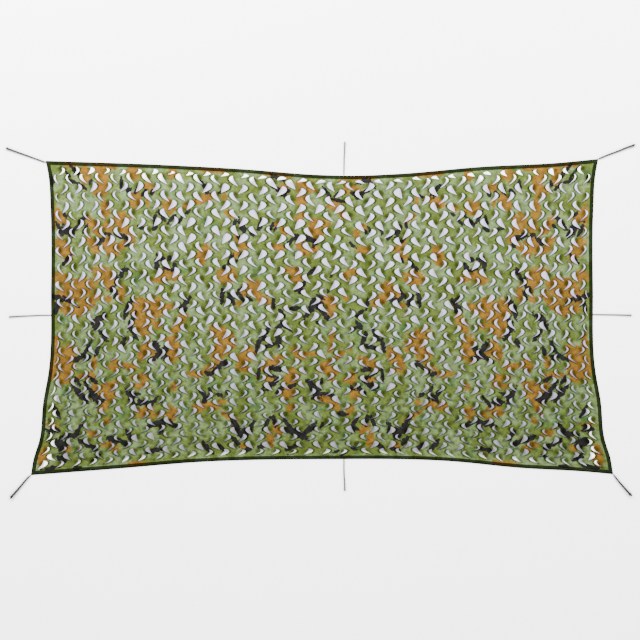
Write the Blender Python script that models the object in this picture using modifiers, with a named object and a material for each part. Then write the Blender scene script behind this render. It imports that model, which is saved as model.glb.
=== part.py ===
"""Leaf-cut camouflage net with eight tie cords, lying flat.

X runs across the net, Y up its face and Z off the surface it lies on. The origin is
below the middle of the panel, on that surface. Lengths are in metres.
"""

import math

import bmesh
import bpy
import numpy as np
from mathutils import Vector
from mathutils.geometry import delaunay_2d_cdt

# Panel: where its corners lie, and how far each edge bows in from the straight line
# between two of them. A bow is a share of the way along the edge, then its depth.
CORNERS = {
    "top_left": (-1.463, 0.827),
    "top_right": (1.463, 0.837),
    "bottom_left": (-1.542, -0.837),
    "bottom_right": (1.542, -0.832),
}
SIDE_BOWS = ((0.05, 0.019), (0.15, 0.037), (0.41, 0.060), (0.67, 0.068),
             (0.77, 0.047), (0.89, 0.036), (0.95, 0.010))
EDGES = {
    "top": ("top_left", "top_right", (0.0, -1.0),
            ((0.21, 0.023), (0.35, 0.046), (0.50, 0.080), (0.55, 0.084),
             (0.64, 0.075), (0.79, 0.039), (0.93, 0.019))),
    "bottom": ("bottom_left", "bottom_right", (0.0, 1.0),
               ((0.05, 0.011), (0.15, 0.034), (0.29, 0.068), (0.50, 0.082),
                (0.72, 0.070), (0.84, 0.034), (0.95, 0.014))),
    "left": ("top_left", "bottom_left", (1.0, 0.0), SIDE_BOWS),
    "right": ("top_right", "bottom_right", (-1.0, 0.0), SIDE_BOWS),
}
EDGE_STEPS = 12

# Cloth and hem
CLOTH_THICK = 0.002
HEM_THICK = 0.004
HEM_WIDTH = 0.016
HEM_SLOPE = 0.004

# Slits: rows of chevrons that point out from the middle and in to it in turn, each row
# half a pitch over from the last and the rows closer together lower down. They stand at
# twice the pitch of the cloth's own cut.
ROWS = 18
SLITS_A_ROW = 16
TOP_MARGIN = 0.088
BOTTOM_MARGIN = 0.074
SLIT_MARGIN = 0.080
ROW_CLOSING = 0.13
MIDDLE_SPREAD = 0.14
TONGUE_LIFT = 0.008

# Outline of one slit that points to +1: the cut's far side, then the lip of its tongue
# where the slit is nearly shut and where it gapes. The half width is a share of the pitch
# along a row and the half height a share of the pitch between rows.
SLIT_HALF_WIDTH = 0.25
SLIT_HALF_HEIGHT = 0.62
FAR_SIDE = ((0.20, 1.00), (0.86, 0.42), (0.92, -0.08), (-1.00, -1.00))
LIP_SHUT = ((0.05, -0.38), (0.50, 0.22))
LIP_OPEN = ((-0.82, -0.35), (-0.50, 0.28))
LIP_LIFTS = (0.5, 1.0)

# Tie cords: the diameter of each, then the points its route runs through, from the hem
# to the knot at its free end.
CORDS = {
    "cord_top_left": (0.0065, ((-1.4637, 0.8190), (-1.4920, 0.8294), (-1.5555, 0.8526),
                               (-1.6192, 0.8753), (-1.6640, 0.8920))),
    "cord_top": (0.0042, ((0.1157, 0.7516), (0.1168, 0.8083), (0.1177, 0.8480),
                          (0.1198, 0.8860), (0.1206, 0.9210))),
    "cord_top_right": (0.0065, ((1.4633, 0.8374), (1.5078, 0.8562), (1.5715, 0.8801),
                                (1.6192, 0.8995), (1.6480, 0.9090))),
    "cord_right": (0.0042, ((1.4355, 0.0134), (1.5026, 0.0124), (1.5500, 0.0118),
                            (1.5950, 0.0107), (1.6330, 0.0099))),
    "cord_bottom_right": (0.008, ((1.5424, -0.8324), (1.5644, -0.8612), (1.5820, -0.8824),
                                  (1.6100, -0.9145), (1.6300, -0.9370))),
    "cord_bottom": (0.0042, ((0.1162, -0.7525), (0.1163, -0.8083), (0.1171, -0.8400),
                             (0.1194, -0.8740), (0.1206, -0.9140))),
    "cord_bottom_left": (0.008, ((-1.5424, -0.8374), (-1.5590, -0.8520), (-1.5761, -0.8719),
                                 (-1.6117, -0.9143), (-1.6420, -0.9495))),
    "cord_left": (0.0042, ((-1.4356, 0.0100), (-1.5000, 0.0090), (-1.5555, 0.0064),
                           (-1.6050, 0.0044), (-1.6520, 0.0014))),
}
POINT_SPACING = 2.5
KNOT_WIDTH = 1.8
KNOT_LENGTH = 3.0
MATING_GAP = 0.0003

CLOTH_COLOUR = (0.22, 0.30, 0.08, 1.0)
CORD_COLOUR = (0.05, 0.05, 0.03, 1.0)


def clear_scene():
    for old in list(bpy.data.objects):
        bpy.data.objects.remove(old, do_unlink=True)


def new_collection(name):
    collection = bpy.data.collections.new(name)
    bpy.context.scene.collection.children.link(collection)
    return collection


def matte_material(name, colour):
    material = bpy.data.materials.new(name)
    material.use_nodes = True
    shader = material.node_tree.nodes["Principled BSDF"]
    shader.inputs["Base Color"].default_value = colour
    shader.inputs["Roughness"].default_value = 0.85
    shader.inputs["Metallic"].default_value = 0.0
    return material


def smooth_value(stations, values, station):
    """Value at a station, on a smooth curve through all the values."""
    slopes = np.gradient(values, stations)
    after = min(int(np.searchsorted(stations, station, side="right")), len(stations) - 1)
    before = after - 1
    span = stations[after] - stations[before]
    t = (station - stations[before]) / span
    start = values[before] * (1 + 2 * t) + slopes[before] * span * t
    end = values[after] * (3 - 2 * t) - slopes[after] * span * (1 - t)
    return start * (1 - t) ** 2 + end * t ** 2


def edge_point(edge, share):
    start, end, inward, bows = EDGES[edge]
    shares, depths = zip((0.0, 0.0), *bows, (1.0, 0.0))
    straight = Vector(CORNERS[start]).lerp(Vector(CORNERS[end]), share)
    return straight + Vector(inward) * smooth_value(shares, depths, share)


def panel_point(across, down):
    """Point at a share across and down the panel: a Coons patch on its four edges."""
    top = Vector(CORNERS["top_left"]).lerp(Vector(CORNERS["top_right"]), across)
    bottom = Vector(CORNERS["bottom_left"]).lerp(Vector(CORNERS["bottom_right"]), across)
    between_rows = edge_point("top", across).lerp(edge_point("bottom", across), down)
    between_sides = edge_point("left", down).lerp(edge_point("right", down), across)
    return between_rows + between_sides - top.lerp(bottom, down)


def rim_loop(inset):
    """Closed loop of points that runs round the panel, this far in from its edge."""
    width = CORNERS["top_right"][0] - CORNERS["top_left"][0]
    height = CORNERS["top_left"][1] - CORNERS["bottom_left"][1]
    near = Vector((inset / width, inset / height))
    far = Vector((1.0, 1.0)) - near
    turns = [near, Vector((far.x, near.y)), far, Vector((near.x, far.y))]
    loop = []
    for turn, following in zip(turns, turns[1:] + turns[:1]):
        loop += [turn.lerp(following, step / EDGE_STEPS) for step in range(EDGE_STEPS)]
    return [panel_point(*share) for share in loop]


def signed_area(loop):
    """Area inside a closed loop of points, negative where it runs clockwise."""
    return 0.5 * sum(a.x * b.y - b.x * a.y for a, b in zip(loop, loop[1:] + loop[:1]))


def gape_at(across, down):
    """How far a slit stands open, 0 to 1: widest above the middle, least at the sides."""
    high = math.exp(-((across - 0.5) / 0.30) ** 2 - ((down - 0.20) / 0.30) ** 2)
    uneven = math.sin(19.0 * across) * math.cos(23.0 * down)
    return min(max(0.35 + 0.65 * high + 0.18 * uneven, 0.0), 1.0)


def cloth_point(column, row):
    """Where a place on the evenly cut cloth lies, counted in slits and in rows."""
    width = CORNERS["top_right"][0] - CORNERS["top_left"][0]
    height = CORNERS["top_left"][1] - CORNERS["bottom_left"][1]
    even = (SLIT_MARGIN + (width - 2 * SLIT_MARGIN) * column / (SLITS_A_ROW - 1)) / width
    t = row / (ROWS - 1)
    closed = t + ROW_CLOSING * t * (1 - t)
    down = (TOP_MARGIN + (height - TOP_MARGIN - BOTTOM_MARGIN) * closed) / height
    spread = MIDDLE_SPREAD * (1 - down ** 2)
    across = even - spread * math.sin(2 * math.pi * even) / (2 * math.pi)
    return panel_point(across, down)


def slit_places():
    """Column and row of every slit's centre, and the way it points."""
    middle = 0.5 * (SLITS_A_ROW - 1)
    for row in range(ROWS):
        shifted = row % 2
        for place in range(SLITS_A_ROW - shifted):
            column = place + 0.5 * shifted
            outward = 1 if column > middle else -1
            yield column, row, outward if shifted else -outward


def slit_outline(column, row, pointing):
    """Points of one slit's rim, with the lift of each."""
    gape = gape_at(column / (SLITS_A_ROW - 1), row / (ROWS - 1))
    shape = [(*point, 0.0) for point in FAR_SIDE]
    for shut, opened, lift in zip(LIP_SHUT, LIP_OPEN, LIP_LIFTS):
        shape.append((*Vector(shut).lerp(Vector(opened), gape), lift * TONGUE_LIFT))
    for x, y, lift in shape:
        place = cloth_point(column + pointing * SLIT_HALF_WIDTH * x, row - SLIT_HALF_HEIGHT * y)
        yield place, lift


def net_panel(collection, material):
    """Slit cloth with its folded hem: a lifted sheet, thickened more along the rim."""
    points, lifts, thick, loops = [], [], [], []

    def add_loop(loop):
        first = len(points)
        for point, lift, share in loop:
            points.append(point)
            lifts.append(lift)
            thick.append(share)
        members = list(range(first, len(points)))
        loops.append(members if signed_area(points[first:]) > 0.0 else members[::-1])

    full = 1.0
    single = CLOTH_THICK / HEM_THICK
    add_loop([(point, 0.0, full) for point in rim_loop(0.0)])
    add_loop([(point, 0.0, full) for point in rim_loop(HEM_WIDTH)])
    add_loop([(point, 0.0, single) for point in rim_loop(HEM_WIDTH + HEM_SLOPE)])
    rims = len(loops)
    for slit in slit_places():
        add_loop([(point, lift, single) for point, lift in slit_outline(*slit)])

    flat, _, faces, sources, _, owners = delaunay_2d_cdt(points, [], loops, 1, 1e-6)
    origin = [source[0] for source in sources]
    cloth_faces = [face for face, owner in zip(faces, owners) if max(owner) < rims]
    mesh = bpy.data.meshes.new("net_panel")
    mesh.from_pydata([(*point, lifts[index]) for point, index in zip(flat, origin)], [], cloth_faces)
    panel = bpy.data.objects.new("net_panel", mesh)
    collection.objects.link(panel)
    panel.data.materials.append(material)

    thickness = panel.vertex_groups.new(name="cloth thickness")
    for vertex, index in enumerate(origin):
        thickness.add([vertex], thick[index], "REPLACE")
    solidify = panel.modifiers.new("cloth and hem", "SOLIDIFY")
    solidify.thickness = HEM_THICK
    solidify.offset = 1.0
    solidify.vertex_group = thickness.name
    return panel


def cord_route(diameter, through):
    """Centre line of a cord, on a smooth curve from the hem up into its end knot."""
    legs = [math.dist(before, after) for before, after in zip(through, through[1:])]
    stations = np.cumsum([0.0, *legs])
    length = stations[-1]
    steps = round(length / (POINT_SPACING * diameter))
    rise = 0.5 * (KNOT_WIDTH - 1) * diameter
    route = []
    for step in range(steps + 1):
        t = step / steps
        place = [smooth_value(stations, values, length * t) for values in zip(*through)]
        route.append(Vector((*place, 0.5 * diameter + rise * t ** 4)))
    return route


def cord(name, route, diameter, collection, material):
    curve = bpy.data.curves.new(name, "CURVE")
    curve.dimensions = "3D"
    curve.bevel_depth = 0.5 * diameter
    curve.bevel_resolution = 2
    curve.use_fill_caps = True
    curve.materials.append(material)
    spline = curve.splines.new("POLY")
    spline.points.add(len(route) - 1)
    for point, place in zip(spline.points, route):
        point.co = (*place, 1.0)
    collection.objects.link(bpy.data.objects.new(name, curve))


def end_knot(name, route, diameter, collection, material):
    """Tight knot that a cord's end runs into, lying along the cord's last stretch."""
    heading = (route[-1] - route[-2]).normalized()
    heading.z = 0.0
    half_length = 0.5 * KNOT_LENGTH * diameter
    bm = bmesh.new()
    bmesh.ops.create_uvsphere(bm, u_segments=8, v_segments=6, radius=0.5)
    bmesh.ops.scale(bm, vec=(KNOT_WIDTH * diameter, KNOT_WIDTH * diameter, KNOT_LENGTH * diameter),
                    verts=bm.verts)
    mesh = bpy.data.meshes.new(name)
    bm.to_mesh(mesh)
    bm.free()
    mesh.materials.append(material)
    knot = bpy.data.objects.new(name, mesh)
    knot.rotation_mode = "QUATERNION"
    knot.rotation_quaternion = heading.to_track_quat("Z", "Y")
    knot.location = route[-1] + heading * (MATING_GAP + half_length)
    collection.objects.link(knot)


def main():
    clear_scene()
    collection = new_collection("camouflage_net")
    cloth = matte_material("camouflage_cloth", CLOTH_COLOUR)
    twine = matte_material("dark_cord", CORD_COLOUR)
    net_panel(collection, cloth)
    for name, (diameter, through) in CORDS.items():
        route = cord_route(diameter, through)
        cord(name, route, diameter, collection, twine)
        end_knot(name.replace("cord", "knot"), route, diameter, collection, twine)


main()
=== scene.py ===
"""Dresses the leaf-cut camouflage net: printed cloth, stitched hem and eight laid tie cords.

X runs across the net, Y up its face and Z off the floor it lies on. Lengths are in
metres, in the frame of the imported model.
"""

import math
from functools import partial

import bmesh
import bpy
import numpy as np
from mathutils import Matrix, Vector
from mathutils.geometry import delaunay_2d_cdt
from mathutils.kdtree import KDTree


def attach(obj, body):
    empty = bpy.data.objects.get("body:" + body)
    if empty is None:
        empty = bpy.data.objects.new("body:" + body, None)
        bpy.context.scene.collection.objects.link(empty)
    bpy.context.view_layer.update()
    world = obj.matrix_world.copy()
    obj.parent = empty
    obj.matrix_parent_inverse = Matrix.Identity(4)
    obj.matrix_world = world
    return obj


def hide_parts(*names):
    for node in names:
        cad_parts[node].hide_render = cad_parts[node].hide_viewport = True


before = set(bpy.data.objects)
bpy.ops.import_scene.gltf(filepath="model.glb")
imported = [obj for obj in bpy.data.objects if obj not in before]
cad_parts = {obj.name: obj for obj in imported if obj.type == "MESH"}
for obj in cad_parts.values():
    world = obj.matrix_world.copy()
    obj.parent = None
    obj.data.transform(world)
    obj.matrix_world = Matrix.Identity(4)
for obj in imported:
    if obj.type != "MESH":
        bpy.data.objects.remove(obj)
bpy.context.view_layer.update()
rng = np.random.default_rng(7)

# Panel outline: its corners, and how far each edge bows in from the straight line between
# two of them. A bow is a share of the way along the edge, then its depth.
CORNERS = {
    "top_left": (-1.463, 0.827),
    "top_right": (1.463, 0.837),
    "bottom_left": (-1.542, -0.837),
    "bottom_right": (1.542, -0.832),
}
SIDE_BOWS = ((0.05, 0.019), (0.15, 0.037), (0.41, 0.060), (0.67, 0.068),
             (0.77, 0.047), (0.89, 0.036), (0.95, 0.010))
EDGES = {
    "top": ("top_left", "top_right", (0.0, -1.0),
            ((0.21, 0.023), (0.35, 0.046), (0.50, 0.080), (0.55, 0.084),
             (0.64, 0.075), (0.79, 0.039), (0.93, 0.019))),
    "bottom": ("bottom_left", "bottom_right", (0.0, 1.0),
               ((0.05, 0.011), (0.15, 0.034), (0.29, 0.068), (0.50, 0.082),
                (0.72, 0.070), (0.84, 0.034), (0.95, 0.014))),
    "left": ("top_left", "bottom_left", (1.0, 0.0), SIDE_BOWS),
    "right": ("top_right", "bottom_right", (-1.0, 0.0), SIDE_BOWS),
}
WIDTH = CORNERS["top_right"][0] - CORNERS["top_left"][0]
HEIGHT = CORNERS["top_left"][1] - CORNERS["bottom_left"][1]

# Tie cords: the diameter of each, then the points its route runs through, from the hem
# to the knot at its free end.
CORDS = {
    "top_left": (0.0065, ((-1.4637, 0.8190), (-1.4920, 0.8294), (-1.5555, 0.8526),
                          (-1.6192, 0.8753), (-1.6640, 0.8920))),
    "top": (0.0042, ((0.1157, 0.7516), (0.1168, 0.8083), (0.1177, 0.8480),
                     (0.1198, 0.8860), (0.1206, 0.9210))),
    "top_right": (0.0065, ((1.4633, 0.8374), (1.5078, 0.8562), (1.5715, 0.8801),
                           (1.6192, 0.8995), (1.6480, 0.9090))),
    "right": (0.0042, ((1.4355, 0.0134), (1.5026, 0.0124), (1.5500, 0.0118),
                       (1.5950, 0.0107), (1.6330, 0.0099))),
    "bottom_right": (0.008, ((1.5424, -0.8324), (1.5644, -0.8612), (1.5820, -0.8824),
                             (1.6100, -0.9145), (1.6300, -0.9370))),
    "bottom": (0.0042, ((0.1162, -0.7525), (0.1163, -0.8083), (0.1171, -0.8400),
                        (0.1194, -0.8740), (0.1206, -0.9140))),
    "bottom_left": (0.008, ((-1.5424, -0.8374), (-1.5590, -0.8520), (-1.5761, -0.8719),
                            (-1.6117, -0.9143), (-1.6420, -0.9495))),
    "left": (0.0042, ((-1.4356, 0.0100), (-1.5000, 0.0090), (-1.5555, 0.0064),
                      (-1.6050, 0.0044), (-1.6520, 0.0014))),
}
CORD_SIDES = 15
CORD_STEP = 0.25  # ring spacing, in diameters
RISE_POWER = 4  # a cord rises only close to its knot
STOUT_CORD = 0.007  # a cord over this diameter is a stout one
STOUT_GROWTH = (1.05, 0.68)  # thickness at the hem, and what the free end adds, in diameters
SLIM_GROWTH = (1.28, 0.40)
STRANDS = 3
STRAND_RELIEF = 0.13
LAY_LENGTH = 4.5  # one turn of the strands, in diameters
PINCH = 0.45  # share of its thickness that a cord loses in the hem
PINCH_REACH = 1.2  # diameters
KNOT_WIDTH = 1.8  # the knot's sizes are in diameters too
KNOT_LOOPS = (0.27, 0.225, 0.33)
KNOT_OPEN_END = 0.25  # radians left off each end of the knot's loops
KNOT_POINTS = 46
KNOT_SINK = 0.4  # how far the knot starts before the cord's end
KNOT_TAIL = (-1.2, 0.55, 0.0)
TAIL_POINTS = 7
TAIL_START = 0.15  # share of the tail
KNOT_TUBE = 0.47
KNOT_TUBE_SIDES = 9
KNOT_RELIEF = 0.08
KNOT_LAY = 9.0  # radians that the strands turn in a diameter's length

# Cut pattern. Slits and rows are counted from the top corner of the half they are in; the
# right half is the left's mirror image, from a seam a little right of the middle.
SLITS_A_ROW = 31
ROWS = 36
SIDE_MARGIN = 0.068
TOP_MARGIN = 0.047
BOTTOM_MARGIN = 0.047
ROW_CLOSING = 0.12
MIDDLE_SPREAD = 0.14
SEAM = 0.127
SEAM_OVERLAP = 0.035
MIRROR_SHIFT = 0.12  # slits
PLACE_SPREAD = (0.022, 0.035)

# How far the pattern wanders from its even places, in slits and in rows. The second value
# of a pair is what the last row adds to the first.
SIDE_DRIFT = (0.15, 0.55)
INWARD_PULL = (0.2, 1.2)
TOP_RISE = 0.55
BOTTOM_RISE = 0.95
MIDDLE_BULGE = 4.0
SIDE_BULGE = 0.6

# How far slits stand open, from 0 to 1, and over what shares of the panel each cause reaches.
LEAST_GAPE = 0.03
INNER_GAPE = 0.24
INNER_REACH = 0.40
HIGH_GAPE = 0.42
HIGH_PLACE = 0.10
HIGH_REACH = 0.36
HEM_GAPE = 0.26
HEM_REACH = 0.06
ROW_GAPE = 0.16
HIGH_EVENNESS = 0.4  # share of the rows' difference that is lost high up
GAPE_SPREAD = 0.20
GAPE_LIMITS = (0.03, 1.05)

# Outline of one slit that points to +1: the cut's far side, then the lip of its tongue where
# the slit is nearly shut and where it gapes. Across and along, in halves of the slit.
HALF_SLIT = (0.29, 0.60)  # in slits and in rows
FAR_SIDE = ((-0.80, -1.00), (0.00, -0.60), (0.64, -0.16), (0.90, 0.30), (0.66, 0.74), (0.10, 1.00))
LIP_SHUT = ((-0.80, -1.00), (-0.26, -0.60), (0.20, -0.24), (0.46, 0.12), (0.48, 0.52), (0.10, 1.00))
LIP_OPEN = ((-0.80, -1.00), (-0.74, -0.60), (-0.60, -0.10), (-0.44, 0.36), (-0.22, 0.74), (0.10, 1.00))
FAR_POINTS = 12
LIP_POINTS = 11
SIZE_SPREAD = 0.06
SIZE_LIMITS = (0.86, 1.12)
LEAN_SPREAD = 0.08
EDGE_CLEARANCE = 0.0225
STRIP_WIDTH = 0.008  # least cloth left between two slits
NEIGHBOUR_REACH = 1.6  # slits or rows
SQUEEZES = (1.0, 0.85, 0.7, 0.55, 0.4)  # tried in turn, beside the hem
SHRINKS = (1.0, 0.85, 0.7, 0.55)  # and between other slits

# Cloth round a slit, in halves of the slit: the tongue that lifts, the painted shade spot on it,
# the far side that dips and the painted shade line along it.
LEAF_REACH = (3.5, 1.25)
ON_OUTLINE = 0.04
ARCH_MIDDLE = 0.05
ARCH_HALF = 0.95
ARCH_POWER = 1.2
TONGUE_LENGTH = 1.7
DIP_LENGTH = 1.8
SPOT_LENGTH = 1.00
SPOT_MIDDLE = 0.35
SPOT_HALF = 0.70
LINE_WIDTH = 0.22
LINE_FADE = 0.32
LINE_HALF = 1.02
LINE_POWER = 0.5
SHADE_RANGE = (0.45, 1.0)
LIFT_RANGE = (0.5, 1.0)

# Heights of the cloth off the floor, and the spacing of its points
REST_HEIGHT = 0.0022
LEAST_HEIGHT = 0.0005
WAVE_HEIGHT = 0.0012
TONGUE_LIFT = 0.0110
HEM_SIDE_LIFT = 0.6  # share of the lift that a tongue has beside the hem
HEM_SIDE = 0.020
HEM_SIDE_WIDTH = 0.030
FAR_DIP = 0.0012
GRID = (0.098, 0.215)  # grid step in slits and in rows
GRID_START = (-0.6, -0.9)
GRID_END = (SLITS_A_ROW - 0.4, ROWS - 0.1)
GRID_EDGE = 0.004
RIM_CLEARANCE = 0.0032
RIM_SHADE_REACH = 0.009
RING_STEP = 0.010
FAR_FROM_SLITS = 1000.0  # a place, in slits, that no slit reaches
SAME_PLACE = 1e-7

# Folded hem: how far in from the edge each ring of points lies and how high; then the same
# for the rings under it, from the edge's roll to the turned-in end.
HEM_RINGS = ((0.0, 0.0019), (0.0012, 0.0033), (0.004, 0.0042), (0.009, 0.0045), (0.015, 0.0042),
             (0.0185, 0.0033), (0.020, 0.0027), (0.023, 0.0021), (0.028, 0.0))
HEM_UNDERSIDE = ((-0.0010, 0.0011), (0.0, 0.0004), (0.010, 0.0004), (0.0190, 0.0006))
HEM_BLEND = 8
ROLL_STEP = 0.002
HEM_BAND = 0.030
MIDDLE_BAND = 0.12  # half its width, as a share of the panel's


def smooth_curve(stations, values, at):
    """Values at some stations, on a smooth curve through all the given ones."""
    stations = np.asarray(stations, float)
    values = np.asarray(values, float)
    at = np.asarray(at, float)
    slopes = np.gradient(values, stations, axis=0)
    after = np.clip(np.searchsorted(stations, at, side="right"), 1, len(stations) - 1)
    before = after - 1
    span = stations[after] - stations[before]
    t = (at - stations[before]) / span
    if values.ndim == 2:
        span = span[:, None]
        t = t[:, None]
    start = values[before] * (1 + 2 * t) + slopes[before] * span * t
    end = values[after] * (3 - 2 * t) - slopes[after] * span * (1 - t)
    return start * (1 - t) ** 2 + end * t ** 2


def stations_of(points):
    """How far along a line of points each one lies."""
    return np.concatenate([[0.0], np.cumsum(np.linalg.norm(np.diff(points, axis=0), axis=1))])


def along(points, count):
    """Points spread evenly on a smooth curve through a few points."""
    points = np.asarray(points, float)
    stations = stations_of(points)
    return smooth_curve(stations, points, np.linspace(0.0, stations[-1], count))


def edge_points(edge, share):
    """Points at some shares of the way along one edge of the panel."""
    start, end, inward, bows = EDGES[edge]
    shares, depths = zip((0.0, 0.0), *bows, (1.0, 0.0))
    share = np.asarray(share, float)[:, None]
    straight = np.array(CORNERS[start]) * (1 - share) + np.array(CORNERS[end]) * share
    return straight + np.array(inward) * smooth_curve(shares, depths, share[:, 0])[:, None]


def panel_points(across, down):
    """Points at shares across and down the panel: a Coons patch on its four edges."""
    u = np.asarray(across, float)[:, None]
    v = np.asarray(down, float)[:, None]
    top = np.array(CORNERS["top_left"]) * (1 - u) + np.array(CORNERS["top_right"]) * u
    bottom = np.array(CORNERS["bottom_left"]) * (1 - u) + np.array(CORNERS["bottom_right"]) * u
    between_rows = edge_points("top", across) * (1 - v) + edge_points("bottom", across) * v
    between_sides = edge_points("left", down) * (1 - u) + edge_points("right", down) * u
    return between_rows + between_sides - top * (1 - v) - bottom * v


def cloth_shares(column, row):
    """Shares across and down at which places on the evenly cut cloth lie."""
    even = (SIDE_MARGIN + (WIDTH - 2 * SIDE_MARGIN) * column / (SLITS_A_ROW - 1)) / WIDTH
    t = row / (ROWS - 1)
    closed = t + ROW_CLOSING * t * (1 - t)
    down = (TOP_MARGIN + (HEIGHT - TOP_MARGIN - BOTTOM_MARGIN) * closed) / HEIGHT
    spread = MIDDLE_SPREAD * (1 - down ** 2)
    return even - spread * np.sin(2 * math.pi * even) / (2 * math.pi), down


def new_object(name, data, material=None):
    made = bpy.data.objects.new(name, data)
    bpy.context.scene.collection.objects.link(made)
    if material is not None:
        data.materials.append(material)
    return made


# Materials

def set_input(tree, socket, source):
    """Links a node's output to a socket, or gives the socket a plain value."""
    if hasattr(source, "is_output"):
        tree.links.new(source, socket)
    else:
        socket.default_value = source


def add_node(tree, kind, inputs=(), **settings):
    """New node with its settings, then its inputs, by name or by number."""
    node = tree.nodes.new(kind)
    for key, value in settings.items():
        setattr(node, key, value)
    for key, source in dict(inputs).items():
        set_input(tree, node.inputs[key], source)
    return node


class Nodes:
    """A material's node tree, with short calls for the nodes that the finishes share."""

    def __init__(self, name):
        self.material = bpy.data.materials.new(name)
        self.material.use_nodes = True
        self.tree = self.material.node_tree
        self.add = partial(add_node, self.tree)

    def surface(self, values):
        """Fills in the shader's sockets, by name, and gives back the material."""
        shader = self.tree.nodes["Principled BSDF"]
        for name, source in values.items():
            set_input(self.tree, shader.inputs[name], source)
        return self.material

    def maths(self, operation, *inputs):
        return self.add("ShaderNodeMath", enumerate(inputs), operation=operation).outputs[0]

    def times(self, first, second):
        return self.maths("MULTIPLY", first, second)

    def attribute(self, name):
        return self.add("ShaderNodeAttribute", attribute_name=name).outputs["Fac"]

    def place(self):
        return self.add("ShaderNodeTexCoord").outputs["Object"]

    def noise(self, scale, detail=3.0, roughness=0.55, stretch=(1.0, 1.0, 1.0)):
        """Noise on object coordinates, 0 to 1, stretched along the axes."""
        place = self.add("ShaderNodeMapping", {"Vector": self.place(), "Scale": stretch}).outputs[0]
        inputs = {"Vector": place, "Scale": scale, "Detail": detail, "Roughness": roughness}
        return self.add("ShaderNodeTexNoise", inputs).outputs[0]

    def step(self, source, span):
        """Smooth step from 0 to 1 as the source goes from the span's first value to its second."""
        inputs = {"Value": source, "From Min": span[0], "From Max": span[1]}
        return self.add("ShaderNodeMapRange", inputs, interpolation_type="SMOOTHSTEP").outputs[0]

    def mix(self, share, first, second, blend="MIX"):
        inputs = {0: share, 6: first, 7: second}
        return self.add("ShaderNodeMix", inputs, data_type="RGBA", blend_type=blend).outputs[2]

    def tint(self, colour, factor):
        return self.mix(1.0, colour, factor, "MULTIPLY")

    def bump(self, height, distance, strength, **more):
        inputs = {"Height": height, "Distance": distance, "Strength": strength, **more}
        return self.add("ShaderNodeBump", inputs).outputs[0]


SAGE = (0.120, 0.170, 0.070, 1.0)
LEAF_GREEN = (0.072, 0.100, 0.019, 1.0)
DEEP_GREEN = (0.050, 0.100, 0.030, 1.0)
OCHRE = (0.168, 0.088, 0.014, 1.0)
DULL_OCHRE = (0.1344, 0.0704, 0.0112, 1.0)
BLACK = (0.013, 0.012, 0.012, 1.0)
WORN_GREY = (0.5, 0.5, 0.5, 1.0)
HEM_GREEN = (0.0010, 0.0034, 0.0010, 1.0)
HEM_EDGE = (0.0006, 0.002, 0.0006, 1.0)
CORD_BLACK = (0.005, 0.0055, 0.004, 1.0)
CORD_FLECK = (0.018, 0.018, 0.013, 1.0)
THREAD_GREEN = (0.006, 0.014, 0.006, 1.0)
THREAD_FLECK = (0.016, 0.030, 0.014, 1.0)

# Factors that tint the print where the cloth lies in shade
HEM_SHADE = (0.15, 0.17, 0.15, 1.0)
LEAF_SHADE = (0.27, 0.29, 0.14, 1.0)
EDGE_SHADE = (0.30, 0.38, 0.26, 1.0)

# Noises: waves a metre, detail, roughness and stretch. Bumps: depth in metres and strength.
DEEP_NOISE = (7.0, 2.0)
BROAD_NOISE = (11.0,)
FINE_NOISE = (48.0, 3.0, 0.6)
GRAIN_NOISE = (160.0, 2.0)
CREASE_NOISE = (55.0, 4.0, 0.6, (1.0, 0.45, 1.0))
CREASE_BUMP = (0.0025, 0.6)
WEAVE_SCALE = 420.0
WEAVE_WANDER = 0.6
WEAVE_BUMP = (0.00012, 0.5)
FLECK_NOISE = (900.0, 3.0, 0.6)
FLECK_SPAN = (0.35, 0.7)
FIBRE_NOISE = (2600.0, 2.0)
FIBRE_BUMP = (0.0002, 0.6)
THREAD_NOISE = (1400.0, 2.0)
FLOOR_NOISE = (1.2, 2.0)

# Where each mask of the cloth goes from none to full, and how strong it is
DEEP_SPAN = (0.58, 0.66)
SAGE_SPAN = (0.82, 0.96)
BROAD_WEIGHT = 1.2
FINE_WEIGHT = 0.6
MIDDLE_WEIGHT = -0.05
OCHRE_SPAN = (0.42, 0.54)
BLACK_SPAN = (0.44, 0.54)
PRINT_WANDER = 1.3
DULL_SPAN = (0.35, 0.75)
WORN_SPAN = (0.3, 0.7)
WORN_STRENGTH = 0.16
EDGE_SPAN = (0.20, 0.85)
RIM_SPAN = (0.30, 0.85)
RIM_STRENGTH = 0.50
SHADE_SPAN = (0.08, 0.62)
HEM_SPAN = (0.28, 0.35)
HEM_EDGE_SPAN = (0.80, 0.94)
# share of dark green laid over the hem's print in painted shade
HEM_GREEN_SHARE = 0.35

# Painted light and shade on the cloth's strips and crumples: noise, span, strength, then the factors
# for the painted light and for the painted shade
STRIP_LIGHT_AND_SHADE = (
    ((24.0, 2.0), (0.32, 0.68), 0.62, (1.15, 1.15, 1.20, 1.0), (0.50, 0.52, 0.42, 1.0)),
    ((62.0, 2.0, 0.6), (0.34, 0.66), 0.5, (1.22, 1.22, 1.22, 1.0), (0.62, 0.64, 0.58, 1.0)),
)


def weave_height(nodes):
    """Plain weave: two sets of ribs at right angles."""
    inputs = {"Vector": nodes.place(), "Scale": WEAVE_SCALE, "Distortion": WEAVE_WANDER}
    ribs = [nodes.add("ShaderNodeTexWave", inputs, bands_direction=direction).outputs["Fac"]
            for direction in ("X", "Y")]
    return nodes.maths("ADD", *ribs)


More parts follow.
